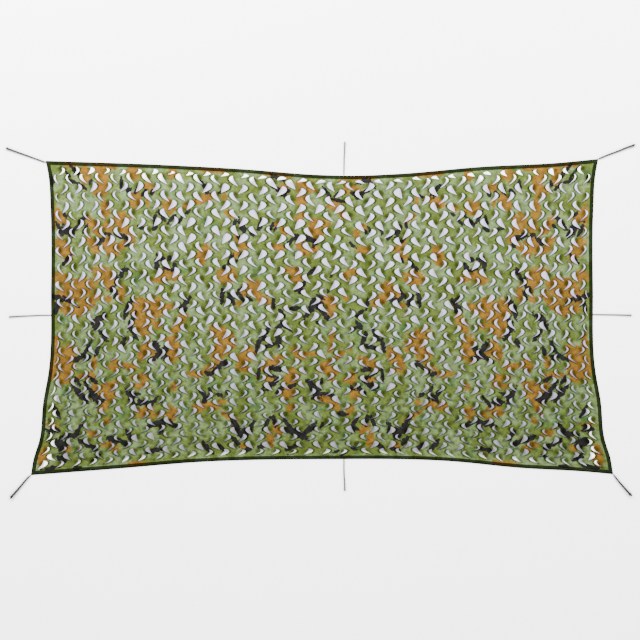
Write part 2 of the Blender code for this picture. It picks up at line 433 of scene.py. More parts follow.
def printed_colour(nodes, fine, grain):
    """Camouflage print: two greens and sage in drifts, then patches of ochre and of black."""
    drifts = nodes.maths("ADD", nodes.times(nodes.noise(*BROAD_NOISE), BROAD_WEIGHT),
                         nodes.times(fine, FINE_WEIGHT))
    drifts = nodes.maths("ADD", drifts, nodes.times(nodes.attribute("middle"), MIDDLE_WEIGHT))
    deeper = nodes.step(nodes.noise(*DEEP_NOISE), DEEP_SPAN)
    colour = nodes.mix(deeper, LEAF_GREEN, DEEP_GREEN)
    colour = nodes.mix(nodes.step(drifts, SAGE_SPAN), colour, SAGE)
    ochre = nodes.mix(nodes.step(grain, DULL_SPAN), OCHRE, DULL_OCHRE)
    wander = nodes.times(nodes.maths("SUBTRACT", fine, 0.5), PRINT_WANDER)
    for name, span, ink in (("ochre", OCHRE_SPAN, ochre), ("black", BLACK_SPAN, BLACK)):
        mask = nodes.step(nodes.maths("ADD", nodes.attribute(name), wander), span)
        colour = nodes.mix(mask, colour, ink)
    return colour


def printed_cloth():
    """The print and its wear, then painted light and shade: on strips, by the slits and over the hem.
    """
    nodes = Nodes("printed camouflage cloth")
    fine = nodes.noise(*FINE_NOISE)
    grain = nodes.noise(*GRAIN_NOISE)
    colour = printed_colour(nodes, fine, grain)
    worn = nodes.times(nodes.step(grain, WORN_SPAN), WORN_STRENGTH)
    colour = nodes.mix(worn, colour, WORN_GREY, "SOFT_LIGHT")
    # painted light and shade: each strip and crumple tinted lighter or darker, standing in for uneven
    # light on the curled cloth
    for noise, span, strength, pale, dark in STRIP_LIGHT_AND_SHADE:
        share = nodes.times(nodes.step(nodes.noise(*noise), span), strength)
        colour = nodes.mix(share, nodes.tint(colour, pale), nodes.tint(colour, dark))
    # painted shade: a dark line along each slit's far side
    edge = nodes.step(nodes.attribute("edge"), EDGE_SPAN)
    colour = nodes.mix(edge, colour, nodes.tint(colour, EDGE_SHADE))
    # painted shade: spots on the tongues and bands along the slit rims, both in the LEAF_SHADE tint
    rim = nodes.times(nodes.step(nodes.attribute("rim"), RIM_SPAN), RIM_STRENGTH)
    shade = nodes.maths("MAXIMUM", nodes.step(nodes.attribute("shade"), SHADE_SPAN), rim)
    colour = nodes.mix(shade, colour, nodes.tint(colour, LEAF_SHADE))
    # the hem band: print darkened with painted shade and mixed with dark green, darker still at its
    # outer edge
    hem = nodes.attribute("hem")
    shaded_hem_print = nodes.mix(HEM_GREEN_SHARE, nodes.tint(colour, HEM_SHADE), HEM_GREEN)
    colour = nodes.mix(nodes.step(hem, HEM_SPAN), colour, shaded_hem_print)
    colour = nodes.mix(nodes.step(hem, HEM_EDGE_SPAN), colour, HEM_EDGE)
    creases = nodes.bump(nodes.noise(*CREASE_NOISE), *CREASE_BUMP)
    weave = nodes.bump(weave_height(nodes), *WEAVE_BUMP, Normal=creases)
    return nodes.surface({"Base Color": colour, "Roughness": 0.78, "Specular IOR Level": 0.03,
                          "Sheen Weight": 0.02, "Sheen Roughness": 0.5, "Normal": weave})


def laid_cord_finish():
    nodes = Nodes("dark laid cord")
    fleck = nodes.step(nodes.noise(*FLECK_NOISE), FLECK_SPAN)
    fibres = nodes.bump(nodes.noise(*FIBRE_NOISE), *FIBRE_BUMP)
    return nodes.surface({"Base Color": nodes.mix(fleck, CORD_BLACK, CORD_FLECK),
                          "Roughness": 0.85, "Sheen Weight": 0.2, "Normal": fibres})


def thread_finish():
    nodes = Nodes("dark green sewing thread")
    colour = nodes.mix(nodes.noise(*THREAD_NOISE), THREAD_GREEN, THREAD_FLECK)
    return nodes.surface({"Base Color": colour, "Roughness": 0.8, "Specular IOR Level": 0.15})


# Floor: pale and lit from under. Below the net it carries a painted shadow, darker and with a faint
# cast, both given for the net's bottom edge and then for its top edge.
PALE_FLOOR = ((0.93, 0.93, 0.94, 1.0), (0.95, 0.95, 0.955, 1.0))
FLOOR_GLOW = (2.9, 2.9, 2.9, 1.0)
NO_GLOW = (0.0, 0.0, 0.0, 1.0)
SHADOWED_FLOOR = ((0.22, 0.22, 0.235, 1.0), (0.36, 0.345, 0.40, 1.0))
SHADOW_GLOW = ((0.08, 0.08, 0.12, 1.0), (0.86, 0.74, 1.36, 1.0))
SHADOW_FADE_SPAN = (-0.75, 0.75)
COVERED_SIDE = (1.44, 1.40)
COVERED_TOP = (0.74, 0.71)
COVERED_BOTTOM = (0.735, 0.70)
COVERED_BOW = 0.035
CONTACT_REACH = 0.020
CONTACT_POWER = 3.0
FLOOR_HALF = 14.0


def floor_finish():
    """Pale floor lit from under.

    Below the net it carries a painted shadow: darker, with a faint lavender cast that fades
    towards the bottom edge. Round the net the glow goes out where the hem and cords touch the
    floor, a painted contact shadow from ambient occlusion."""
    nodes = Nodes("plain pale floor")
    x, y, _ = nodes.add("ShaderNodeSeparateXYZ", {0: nodes.place()}).outputs
    # mask of the painted shadow under the net, from the net's outline
    below = nodes.maths("SUBTRACT", nodes.times(y, -1.0), nodes.times(nodes.times(x, x), COVERED_BOW))
    height = nodes.times(nodes.step(below, COVERED_BOTTOM), nodes.step(y, COVERED_TOP))
    shadowed = nodes.times(nodes.step(nodes.maths("ABSOLUTE", x), COVERED_SIDE), height)
    upward = nodes.step(y, SHADOW_FADE_SPAN)
    pale = nodes.mix(nodes.noise(*FLOOR_NOISE), *PALE_FLOOR)
    glow = nodes.mix(shadowed, FLOOR_GLOW, nodes.mix(upward, *SHADOW_GLOW))
    # painted contact shadow: the floor's glow dims where the hem and cords lie close to it
    contact = nodes.add("ShaderNodeAmbientOcclusion", {"Distance": CONTACT_REACH}, samples=8)
    clear = nodes.maths("MAXIMUM", nodes.maths("POWER", contact.outputs["AO"], CONTACT_POWER), shadowed)
    return nodes.surface({"Base Color": nodes.mix(shadowed, pale, nodes.mix(upward, *SHADOWED_FLOOR)),
                          "Roughness": 0.9, "Specular IOR Level": 0.1,
                          "Emission Color": nodes.mix(clear, NO_GLOW, glow),
                          "Emission Strength": 1.0})


# Camera

LENS = 85.0
SENSOR = 36.0
PICTURE_WIDTH = 3.392
PICTURE_CENTRE = (-0.0106, -0.0159)


def overhead_camera():
    data = bpy.data.cameras.new("camera")
    data.lens = LENS
    data.sensor_width = SENSOR
    data.clip_end = 100.0
    camera = new_object("camera", data)
    camera.location = (*PICTURE_CENTRE, LENS / SENSOR * PICTURE_WIDTH)
    bpy.context.scene.camera = camera


# Cords

def cord_line(diameter, growth, through):
    """Centre line of a cord that lies on the floor from the hem, and rises into its end knot."""
    length = sum(math.dist(before, after) for before, after in zip(through, through[1:]))
    count = round(length / (CORD_STEP * diameter)) + 1
    t = np.linspace(0.0, 1.0, count)
    rise = 0.5 * (KNOT_WIDTH - 1) * diameter
    height = 0.5 * diameter * (growth[0] + growth[1] * t) + rise * t ** RISE_POWER
    return np.column_stack([along(through, count), height])


def sweep(name, line, radius_at, sides, material):
    """Tube round a line; radius_at takes a station, in metres, and an angle round it."""
    points = []
    tangents = np.gradient(line, axis=0)
    side = Vector(tangents[0]).orthogonal().normalized()
    for place, tangent, station in zip(line, tangents, stations_of(line)):
        heading = Vector(tangent).normalized()
        side = (side - heading * side.dot(heading)).normalized()
        other = heading.cross(side)
        for turn in range(sides):
            angle = 2 * math.pi * turn / sides
            outward = side * math.cos(angle) + other * math.sin(angle)
            points.append(Vector(place) + outward * float(radius_at(station, angle)))
    last = len(points) - sides
    faces = [(ring + turn, ring + after, ring + sides + after, ring + sides + turn)
             for ring in range(0, last, sides)
             for turn, after in enumerate([*range(1, sides), 0])]
    faces += [range(sides)[::-1], range(last, len(points))]
    mesh = bpy.data.meshes.new(name)
    mesh.from_pydata(points, [], faces)
    mesh.shade_smooth()
    return new_object(name, mesh, material)


def strand_radius(diameter, length, growth):
    """Radius of a cord laid from strands: pinched at the hem, thicker at its free end."""
    def radius_at(station, angle):
        pinch = 1 - PINCH * math.exp(-(station / (PINCH_REACH * diameter)) ** 2)
        radius = 0.5 * diameter * (growth[0] + growth[1] * station / length) * pinch
        ridges = math.cos(STRANDS * angle - 2 * math.pi * station / (LAY_LENGTH * diameter / STRANDS))
        return radius * (1 - STRAND_RELIEF + STRAND_RELIEF * ridges)
    return radius_at


def knot_radius(diameter):
    """Radius of the cord in its knot, where it is pulled thin."""
    def radius_at(station, angle):
        ridges = math.cos(STRANDS * angle - KNOT_LAY * station / diameter)
        return KNOT_TUBE * diameter * (1 + KNOT_RELIEF * ridges)
    return radius_at


def knot_line(diameter, start, heading):
    """Overhand knot drawn tight, then the short tail past it."""
    turns = np.linspace(KNOT_OPEN_END, 2 * math.pi - KNOT_OPEN_END, KNOT_POINTS)
    loops = diameter * np.column_stack([
        np.sin(turns) + 2 * np.sin(2 * turns),
        np.cos(turns) - 2 * np.cos(2 * turns),
        -np.sin(3 * turns),
    ]) * KNOT_LOOPS
    tail = loops[-1] + np.outer(np.linspace(TAIL_START, 1.0, TAIL_POINTS), KNOT_TAIL) * diameter
    shape = np.vstack([loops, tail])
    shape[:, 0] = shape[:, 0].max() - shape[:, 0]
    sideways = (-heading[1], heading[0], 0.0)
    return start + shape @ np.array((heading, sideways, (0.0, 0.0, 1.0)))


def tie_cord(side, diameter, through, material):
    growth = STOUT_GROWTH if diameter > STOUT_CORD else SLIM_GROWTH
    line = cord_line(diameter, growth, through)
    length = float(stations_of(line)[-1])
    cord = sweep(f"laid_cord_{side}", line, strand_radius(diameter, length, growth),
                 CORD_SIDES, material)
    heading = line[-1] - line[-4]
    heading[2] = 0.0
    heading /= np.linalg.norm(heading)
    knot_start = line[-1] - heading * KNOT_SINK * diameter
    knot = sweep(f"tight_knot_{side}", knot_line(diameter, knot_start, heading),
                 knot_radius(diameter), KNOT_TUBE_SIDES, material)
    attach(cord, "root")
    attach(knot, "root")
    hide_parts(f"cord_{side}")
    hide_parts(f"knot_{side}")


# Net cloth

def drift(column, row):
    """How far a slit lies from its even place, in slits and in rows."""
    inward = column / (0.5 * (SLITS_A_ROW - 1))
    t = row / (ROWS - 1)
    sideways = SIDE_DRIFT[0] + SIDE_DRIFT[1] * t - inward * (INWARD_PULL[0] + INWARD_PULL[1] * t)
    at_top = -TOP_RISE * (1 - (1 - min(inward, 1.0)) ** 3)
    bulge = MIDDLE_BULGE * inward ** 2 - SIDE_BULGE
    return sideways, at_top * (1 - t) - BOTTOM_RISE * t - bulge * t * (1 - t)


def opening(across, down, shifted):
    """How far a slit stands open: widest high up and by the bottom hem, and in every other row."""
    inward = math.exp(-((across - 0.5) / INNER_REACH) ** 4)
    high = inward * math.exp(-((down - HIGH_PLACE) / HIGH_REACH) ** 2)
    every_other = (-1 if shifted else 1) * math.cos(math.pi * down)
    by_hem = math.exp(-((1 - down) / HEM_REACH) ** 2)
    return (LEAST_GAPE + INNER_GAPE * inward + HIGH_GAPE * high + HEM_GAPE * by_hem
            + ROW_GAPE * every_other * (1 - HIGH_EVENNESS * high))


def edge_inset(across, down):
    """How far in from the panel's nearest edge some shares across and down lie."""
    return np.minimum(np.minimum(across, 1 - across) * WIDTH, np.minimum(down, 1 - down) * HEIGHT)


def strip_width(rim, others):
    """Narrowest strip of cloth between a new slit and those already cut near it."""
    if not others:
        return math.inf
    away = np.abs(np.array([other["centre"] for other in others]) - rim.mean(axis=0)).max(axis=1)
    places = panel_points(*cloth_shares(*rim.T))
    narrowest = math.inf
    for index in np.flatnonzero(away < NEIGHBOUR_REACH):
        gaps = np.linalg.norm(places[:, None] - others[index]["places"][None], axis=2)
        narrowest = min(narrowest, gaps.min())
    return narrowest


def slit_rim(centre, pointing, gape, others):
    """Closed rim of one slit on the evenly cut cloth, or None where there is no room for it.

    A slit that meets the hem is squeezed towards its inner end; one that meets another slit
    is made smaller."""
    far = along(FAR_SIDE[::-1], FAR_POINTS)
    lips = [along(lip, LIP_POINTS)[1:-1] for lip in (LIP_SHUT, LIP_OPEN)]
    shape = np.vstack([far, lips[0] * (1 - gape) + lips[1] * gape])
    size = rng.normal(1.0, SIZE_SPREAD, 2).clip(*SIZE_LIMITS)
    lean = rng.normal(0.0, LEAN_SPREAD)
    x = pointing * HALF_SLIT[0] * size[0] * (shape[:, 0] + lean * shape[:, 1])
    y = -HALF_SLIT[1] * size[1] * shape[:, 1]
    rim = np.column_stack([x, y]) + centre
    middle = np.array((SLITS_A_ROW - 1, ROWS - 1)) / 2
    inner = np.where(centre < middle, rim.max(axis=0), rim.min(axis=0))
    for axis, clearance in ((0, EDGE_CLEARANCE / WIDTH), (1, EDGE_CLEARANCE / HEIGHT)):
        for squeeze in SQUEEZES:
            squeezed = rim.copy()
            squeezed[:, axis] = inner[axis] + (rim[:, axis] - inner[axis]) * squeeze
            shares = cloth_shares(*squeezed.T)[axis]
            if clearance < shares.min() and shares.max() < 1 - clearance:
                break
        else:
            return None
        rim = squeezed
    for shrink in SHRINKS:
        smaller = rim.mean(axis=0) + (rim - rim.mean(axis=0)) * shrink
        if strip_width(smaller, others) > STRIP_WIDTH:
            return smaller
    return None


def cut_slits():
    """All slits of the net: the rim of each, where it is, which way it points, how open."""
    slits = []
    for half in (1, -1):
        for row in range(-1, ROWS + 3):
            shifted = row % 2
            for place in range(-1, SLITS_A_ROW):
                column = place + 0.5 * shifted
                sideways, downward = drift(column, row)
                centre = np.array((column + sideways, row + downward)) + rng.normal(0.0, PLACE_SPREAD)
                if half < 0:
                    centre[0] = SLITS_A_ROW - 1 - centre[0] - MIRROR_SHIFT
                shares = cloth_shares(*centre)
                if min(shares) <= 0.0 or max(shares) >= 1.0:
                    continue
                middle = panel_points([shares[0]], [shares[1]])[0]
                if half * (SEAM - middle[0]) < -SEAM_OVERLAP:
                    continue
                gape = opening(*shares, shifted) + rng.normal(0.0, GAPE_SPREAD)
                gape = float(np.clip(gape, *GAPE_LIMITS))
                pointing = -half if shifted else half
                rim = slit_rim(centre, pointing, gape, slits)
                if rim is not None:
                    places = panel_points(*cloth_shares(*rim.T))
                    slits.append({"rim": rim, "places": places, "centre": centre,
                                  "pointing": pointing, "gape": gape,
                                  "shade": rng.uniform(*SHADE_RANGE), "lift": rng.uniform(*LIFT_RANGE)})
    return slits


def ring_shares(inset):
    """Shares across and down of a ring of points, this far in from the panel's edge."""
    near = np.array((inset / WIDTH, inset / HEIGHT))
    far = 1.0 - near
    turns = [near, (far[0], near[1]), far, (near[0], far[1])]
    counts = [round(WIDTH / RING_STEP), round(HEIGHT / RING_STEP)] * 2
    ring = []
    for turn, following, count in zip(turns, turns[1:] + turns[:1], counts):
        t = np.linspace(0.0, 1.0, count, endpoint=False)[:, None]
        ring.append(np.asarray(turn) * (1 - t) + np.asarray(following) * t)
    return np.vstack(ring)


def grid_shares(taken):
    """Grid of points over the slit cloth, leaving out those close to a taken point."""
    tree = KDTree(len(taken))
    for index, place in enumerate(taken):
        tree.insert((*place, 0.0), index)
    tree.balance()
    columns = np.arange(GRID_START[0], GRID_END[0], GRID[0])
    rows = np.arange(GRID_START[1], GRID_END[1], GRID[1])
    column, row = (part.ravel() for part in np.meshgrid(columns, rows))
    column = column + 0.5 * GRID[0] * (np.round((row - GRID_START[1]) / GRID[1]) % 2)
    shares = np.column_stack(cloth_shares(column, row))
    margin = (HEM_RINGS[-1][0] + GRID_EDGE) / np.array((WIDTH, HEIGHT))
    inside = ((shares > margin) & (shares < 1.0 - margin)).all(axis=1)
    shares = shares[inside]
    gaps = np.array([tree.find((*place, 0.0))[2] for place in panel_points(*shares.T)])
    clear = gaps > RIM_CLEARANCE
    return shares[clear], np.column_stack([column, row])[inside][clear], gaps[clear]


def counter_clockwise(places, members):
    """A loop of points, turned round where it runs clockwise."""
    x, y = places[members].T
    area = np.dot(x, np.roll(y, -1)) - np.dot(y, np.roll(x, -1))
    return members if area > 0.0 else members[::-1]


def arch(y, half):
    """An arch over the slit's middle, 1 at its crown and 0 at its feet."""
    return np.clip(1 - ((y - ARCH_MIDDLE) / half) ** 2, 0, 1)


def leaf_fields(cut, slits):
    """Lift, dip, painted leaf shade and painted far-side shade line round all slits, at places on the
    even cloth.
    """
    fields = np.zeros((4, len(cut)))
    far, far_stations = zip(*FAR_SIDE)
    shut, lip_stations = zip(*LIP_SHUT)
    opened = [across for across, _ in LIP_OPEN]
    for slit in slits:
        x = (cut[:, 0] - slit["centre"][0]) * slit["pointing"] / HALF_SLIT[0]
        y = (slit["centre"][1] - cut[:, 1]) / HALF_SLIT[1]
        near = np.flatnonzero((np.abs(x) < LEAF_REACH[0]) & (np.abs(y) < LEAF_REACH[1]))
        x, y = x[near], y[near]
        behind = (np.interp(y, lip_stations, shut) * (1 - slit["gape"])
                  + np.interp(y, lip_stations, opened) * slit["gape"] - x)
        beyond = x - np.interp(y, far_stations, far)
        on_leaf = behind > -ON_OUTLINE
        rise = arch(y, ARCH_HALF) ** ARCH_POWER
        lift = np.clip(1 - behind / TONGUE_LENGTH, 0, 1) ** 2 * rise * slit["lift"]
        dip = np.clip(1 + behind / DIP_LENGTH, 0, 1) * rise
        spot = np.exp(-(behind / SPOT_LENGTH) ** 2 - ((y - SPOT_MIDDLE) / SPOT_HALF) ** 2)
        line = np.exp(-(np.maximum(beyond - LINE_WIDTH, 0) / LINE_FADE) ** 2)
        line *= arch(y, LINE_HALF) ** LINE_POWER
        values = (np.where(on_leaf, lift, 0.0), np.where(on_leaf, 0.0, dip),
                  np.where(on_leaf, spot * slit["shade"], 0.0),
                  np.where(beyond > -ON_OUTLINE, line, 0.0))
        for field, value in zip(fields, values):
            field[near] = np.maximum(field[near], value)
    return fields


def wavy(x, y):
    """Slow uneven rise and fall of cloth laid by hand, -1 to 1."""
    return (0.5 * np.sin(7.1 * x + 2.3 * y + 0.7) * np.cos(5.3 * y - 1.9 * x)
            + 0.3 * np.sin(17.0 * x - 9.0 * y) + 0.2 * np.sin(31.0 * y + 13.0 * x + 1.1))


def hem_profile(inset, height):
    """Height of the cloth near the edge: the folded hem and the step down to the cloth's own."""
    insets, heights = zip(*HEM_RINGS)
    share = np.clip(inset / insets[-1], 0, 1) ** HEM_BLEND
    return np.where(inset < insets[-1],
                    np.interp(inset, insets, heights) * (1 - share) + height * share, height)


# Print: patches of colour. The first four values are in thousandths: the shares across and down
# the panel of a patch's middle, then its half length and half width in metres. The last is its
# turn in degrees from the X axis.
OCHRE_PATCHES = (
    (16, 945, 45, 20, 100), (52, 925, 20, 14, 0), (45, 10, 30, 16, 0), (105, 12, 50, 14, 0),
    (300, 8, 60, 14, 0), (10, 180, 45, 14, 90), (8, 660, 50, 16, 90), (420, 10, 50, 14, 0),
    (180, 990, 45, 12, 0), (67, 40, 45, 20, 80), (97, 45, 65, 24, 100), (93, 85, 35, 26, 30),
    (157, 30, 30, 26, 20), (228, 24, 26, 16, 60), (182, 72, 20, 18, 0), (158, 120, 36, 22, 55),
    (178, 125, 20, 8, 95), (218, 137, 32, 30, 70), (250, 135, 14, 14, 0), (100, 150, 42, 18, 95),
    (20, 180, 36, 18, -50), (128, 182, 36, 26, 30), (78, 205, 50, 20, -50), (105, 210, 24, 18, -40),
    (134, 216, 30, 22, -20), (148, 242, 26, 12, 95), (76, 265, 48, 17, -60),
    (108, 268, 50, 30, -60), (128, 272, 36, 15, 45), (24, 283, 52, 26, -60), (288, 102, 46, 17, 20),
    (275, 118, 20, 16, 0), (320, 100, 16, 12, 90), (330, 155, 28, 14, -40), (433, 45, 28, 12, 15),
    (470, 42, 42, 20, -25), (463, 82, 45, 22, 85), (460, 153, 26, 16, 60), (420, 180, 24, 13, 40),
    (430, 205, 20, 14, 90), (487, 178, 34, 28, 40), (490, 210, 30, 18, 0), (464, 257, 46, 19, -60),
    (486, 262, 22, 18, 0), (420, 262, 26, 15, 0), (354, 262, 26, 14, -20), (344, 240, 20, 11, -60),
    (280, 297, 46, 25, 65), (343, 292, 22, 14, 30), (16, 372, 30, 26, 0), (98, 362, 50, 28, -20),
    (108, 388, 36, 22, 90), (45, 415, 85, 44, 25), (60, 465, 58, 26, 35), (30, 475, 26, 18, 0),
    (82, 432, 24, 15, 0), (130, 423, 34, 15, 95), (106, 442, 18, 14, 0), (200, 380, 30, 16, 0),
    (222, 366, 48, 18, -25), (325, 366, 42, 32, 10), (356, 423, 24, 20, 20), (372, 400, 34, 28, 60),
    (380, 430, 40, 18, -60), (396, 447, 24, 16, -50), (442, 340, 42, 14, 0), (454, 367, 24, 22, 0),
    (345, 463, 14, 12, 0), (162, 480, 48, 36, 80), (187, 480, 50, 42, 70), (170, 520, 60, 40, 90),
    (214, 473, 34, 14, 20), (236, 530, 50, 20, 60), (197, 535, 16, 14, 0), (318, 580, 62, 36, -45),
    (313, 622, 48, 30, 40), (10, 585, 34, 14, 90), (28, 630, 52, 42, 60), (30, 675, 46, 34, 90),
    (82, 650, 34, 11, 90), (120, 660, 26, 22, 90), (147, 663, 38, 14, -8), (70, 690, 40, 13, 0),
    (174, 612, 44, 22, 70), (187, 622, 26, 12, -60), (224, 600, 40, 30, -70),
    (226, 630, 36, 28, 60), (362, 640, 44, 28, 50), (351, 670, 34, 18, 80), (296, 678, 56, 13, 40),
    (270, 701, 36, 12, -10), (410, 660, 42, 20, 30), (395, 685, 16, 14, 0), (365, 690, 16, 12, 0),
    (456, 630, 36, 18, -40), (480, 630, 28, 10, 0), (445, 712, 40, 26, 80), (408, 722, 26, 14, -30),
    (438, 765, 30, 30, 0), (112, 735, 48, 26, 30), (118, 755, 26, 18, -40), (88, 730, 34, 10, 90),
    (175, 705, 24, 14, -40), (172, 731, 34, 11, 0), (157, 703, 14, 13, 0), (233, 740, 18, 14, 90),
    (109, 790, 38, 18, 75), (185, 816, 36, 22, 25), (205, 833, 28, 10, 15), (232, 830, 28, 22, 90),
    (280, 812, 24, 20, 0), (302, 808, 34, 14, -20), (323, 798, 15, 13, 0), (335, 850, 40, 11, -30),
    (522, 105, 28, 20, 0), (535, 130, 40, 14, -55), (548, 45, 28, 17, -60), (538, 20, 20, 10, 30),
    (503, 170, 28, 16, 0), (551, 345, 26, 17, 20), (540, 355, 20, 15, 90), (507, 436, 30, 18, 0),
    (516, 452, 34, 23, -60), (514, 485, 20, 17, 80), (549, 430, 26, 10, 30), (518, 565, 28, 12, 80),
    (516, 610, 20, 12, 80), (505, 670, 40, 15, 40), (511, 686, 36, 20, 0), (520, 708, 28, 12, 60),
    (532, 635, 30, 11, 40), (550, 718, 28, 16, 20), (505, 786, 40, 15, 0), (520, 805, 44, 15, -50),
    (550, 830, 26, 17, 60), (20, 845, 28, 10, -15), (93, 880, 26, 14, -25), (117, 840, 14, 12, 0),
    (125, 918, 26, 11, 10), (138, 935, 20, 12, 0), (420, 893, 28, 16, -50), (410, 930, 36, 14, -80),
    (365, 953, 16, 13, 0), (443, 820, 20, 13, 80),
)
BLACK_PATCHES = (
    (35, 982, 50, 11, 5), (78, 988, 30, 10, 0), (6, 60, 30, 12, 90), (34, 35, 40, 8, -55),
    (48, 25, 44, 10, -60), (55, 30, 30, 8, -70), (42, 64, 36, 12, -10), (60, 78, 34, 11, -40),
    (75, 65, 20, 10, 60), (132, 65, 36, 11, 85), (145, 88, 22, 11, 35), (160, 85, 28, 11, 65),
    (173, 95, 28, 11, 45), (188, 92, 18, 13, 80), (285, 65, 46, 12, -50), (290, 75, 36, 15, 70),
    (315, 82, 30, 8, 30), (405, 30, 44, 10, 55), (418, 60, 50, 13, -30), (428, 78, 26, 12, -20),
    (420, 20, 40, 12, -20), (436, 65, 20, 13, 40), (57, 188, 36, 13, 45), (26, 172, 22, 10, -60),
    (16, 220, 52, 11, -65), (32, 222, 46, 24, -55), (46, 214, 18, 11, 80), (63, 215, 32, 10, 60),
    (93, 252, 38, 12, 50), (106, 233, 24, 11, -20), (129, 238, 46, 17, -20), (140, 266, 18, 11, 50),
    (192, 180, 40, 10, 80), (205, 170, 48, 10, -60), (222, 180, 40, 11, 50), (240, 180, 30, 9, 60),
    (166, 210, 26, 11, -8), (191, 210, 24, 12, 30), (253, 156, 20, 9, 30), (353, 200, 52, 15, -70),
    (345, 232, 36, 10, -50), (339, 183, 20, 10, 80), (370, 222, 26, 10, -45),
    (387, 186, 44, 13, 75), (405, 195, 34, 9, 60), (414, 198, 22, 9, 60), (453, 224, 26, 14, 90),
    (478, 228, 42, 14, -25), (440, 242, 40, 10, 50), (486, 240, 30, 12, 80), (28, 315, 42, 11, 50),
    (195, 325, 50, 14, 85), (204, 313, 24, 11, 20), (218, 312, 20, 13, 90), (216, 346, 46, 10, -15),
    (228, 338, 30, 14, 80), (131, 358, 44, 11, 70), (138, 350, 20, 12, 0), (120, 385, 38, 11, 80),
    (112, 410, 20, 14, 80), (119, 432, 30, 9, 55), (149, 447, 36, 10, 75), (140, 480, 55, 16, 75),
    (330, 315, 38, 11, 65), (348, 300, 34, 9, 60), (480, 342, 34, 12, 50), (320, 336, 18, 12, 60),
    (462, 397, 48, 13, 65), (456, 405, 26, 11, 30), (248, 460, 50, 13, 50), (245, 443, 34, 10, -30),
    (247, 480, 26, 14, 80), (316, 440, 50, 13, 85), (332, 447, 42, 14, -60), (345, 425, 44, 11, 60),
    (351, 440, 34, 11, -55), (365, 444, 30, 10, -40), (411, 455, 36, 10, 95),
    (425, 487, 30, 11, -50), (450, 472, 36, 14, 10), (482, 455, 54, 15, 70), (478, 480, 60, 15, 55),
    (494, 470, 40, 12, -50), (12, 438, 50, 14, -20), (36, 448, 56, 10, -35), (10, 470, 40, 13, 80),
    (90, 505, 50, 18, 30), (85, 525, 38, 16, 55), (97, 562, 50, 13, -50), (68, 600, 52, 12, 60),
    (55, 630, 44, 15, 30), (86, 612, 34, 12, 70), (70, 634, 28, 12, 30), (148, 520, 60, 15, 70),
    (152, 555, 50, 14, -60), (134, 585, 30, 14, 75), (196, 605, 44, 17, -60),
    (200, 632, 44, 17, 40), (185, 645, 30, 11, 50), (212, 610, 22, 12, -50), (213, 643, 26, 14, 10),
    (395, 565, 60, 13, 65), (418, 580, 56, 15, -75), (382, 600, 52, 13, 75), (405, 605, 44, 13, 20),
    (425, 530, 36, 14, 60), (435, 540, 36, 10, -40), (310, 680, 70, 13, 45), (322, 668, 26, 14, 0),
    (292, 700, 26, 12, -20), (55, 705, 36, 10, -50), (75, 725, 55, 10, -50), (85, 705, 38, 10, -35),
    (65, 750, 65, 17, -45), (92, 760, 60, 18, -50), (105, 775, 26, 11, 20), (155, 765, 60, 14, -60),
    (165, 760, 36, 12, 20), (180, 788, 44, 19, -10), (198, 790, 50, 11, 55),
    (285, 765, 36, 12, -50), (294, 785, 36, 16, 50), (300, 765, 42, 10, -70),
    (317, 775, 22, 12, -30), (330, 765, 20, 10, -60), (410, 740, 60, 13, 45),
    (400, 742, 30, 13, 40), (425, 755, 50, 12, 50), (405, 705, 48, 11, -30),
    (415, 685, 34, 16, -20), (385, 700, 40, 10, 85), (445, 745, 36, 12, 30),
    (485, 750, 70, 20, -55), (490, 770, 40, 16, 60), (65, 870, 50, 12, 60), (55, 880, 50, 14, 5),
    (35, 905, 60, 22, -20), (45, 915, 34, 14, 70), (85, 912, 62, 12, -30), (100, 925, 36, 13, -30),
    (130, 902, 52, 14, -25), (150, 915, 50, 13, -30), (158, 890, 40, 13, -60),
    (205, 860, 65, 17, 15), (215, 872, 44, 16, 80), (235, 868, 55, 14, -30),
    (345, 870, 62, 12, -55), (355, 905, 60, 16, -45), (372, 895, 60, 15, 65), (365, 900, 40, 18, 0),
    (402, 875, 56, 10, 70), (415, 865, 42, 11, -80), (440, 880, 60, 12, -55),
    (452, 905, 70, 20, -20), (475, 900, 60, 18, 40), (465, 920, 40, 16, -40),
    (350, 935, 40, 13, -50), (325, 955, 40, 13, -40), (370, 965, 34, 14, 20),
    (300, 950, 50, 13, -50), (210, 950, 50, 14, 10), (108, 960, 30, 10, 40), (50, 955, 40, 13, -30),
    (22, 860, 34, 22, 0), (395, 955, 30, 13, 20), (445, 960, 40, 13, 20), (25, 800, 50, 11, -60),
    (507, 54, 36, 9, -55), (512, 72, 18, 10, 45), (529, 88, 38, 11, -15), (526, 68, 18, 8, 40),
    (550, 88, 24, 10, 20), (517, 355, 20, 8, 50), (511, 410, 17, 9, 85), (498, 430, 28, 12, -40),
    (494, 460, 32, 20, 30), (505, 490, 38, 16, -55), (492, 520, 18, 11, -40),
    (500, 725, 18, 11, 80), (507, 770, 30, 10, 0), (516, 776, 28, 11, -10), (536, 840, 28, 16, -20),
    (500, 880, 20, 11, 80), (514, 876, 15, 8, 20), (524, 975, 20, 9, 30), (538, 980, 28, 9, 40),
)
SEAM_SHARE = 0.55
MIRROR_SHARE = 0.0055
PATCH_REACH = 2.2  # half lengths past which a patch has no say
OCHRE_SPREAD = 1.38
BLACK_SPREAD = 1.0


def print_field(patches, spread, across, down):
    """How deep places lie in the nearest patch: 1 at its middle, 0.5 at its edge."""
    mirrored = np.where(across < SEAM_SHARE, across, 1.0 - MIRROR_SHARE - across)
    field = np.zeros(len(across))
    for *sizes, turn in patches:
        patch_across, patch_down, length, width = (size / 1000 for size in sizes)
        length *= spread
        width *= spread
        x = (mirrored - patch_across) * WIDTH
        y = (patch_down - down) * HEIGHT
        reach = np.abs(x) < PATCH_REACH * length
        cos, sin = math.cos(math.radians(turn)), math.sin(math.radians(turn))
        x, y = x[reach], y[reach]
        far = ((x * cos + y * sin) / length) ** 2 + ((y * cos - x * sin) / width) ** 2
        field[reach] = np.maximum(field[reach], np.exp(-far * math.log(2)))
    return field


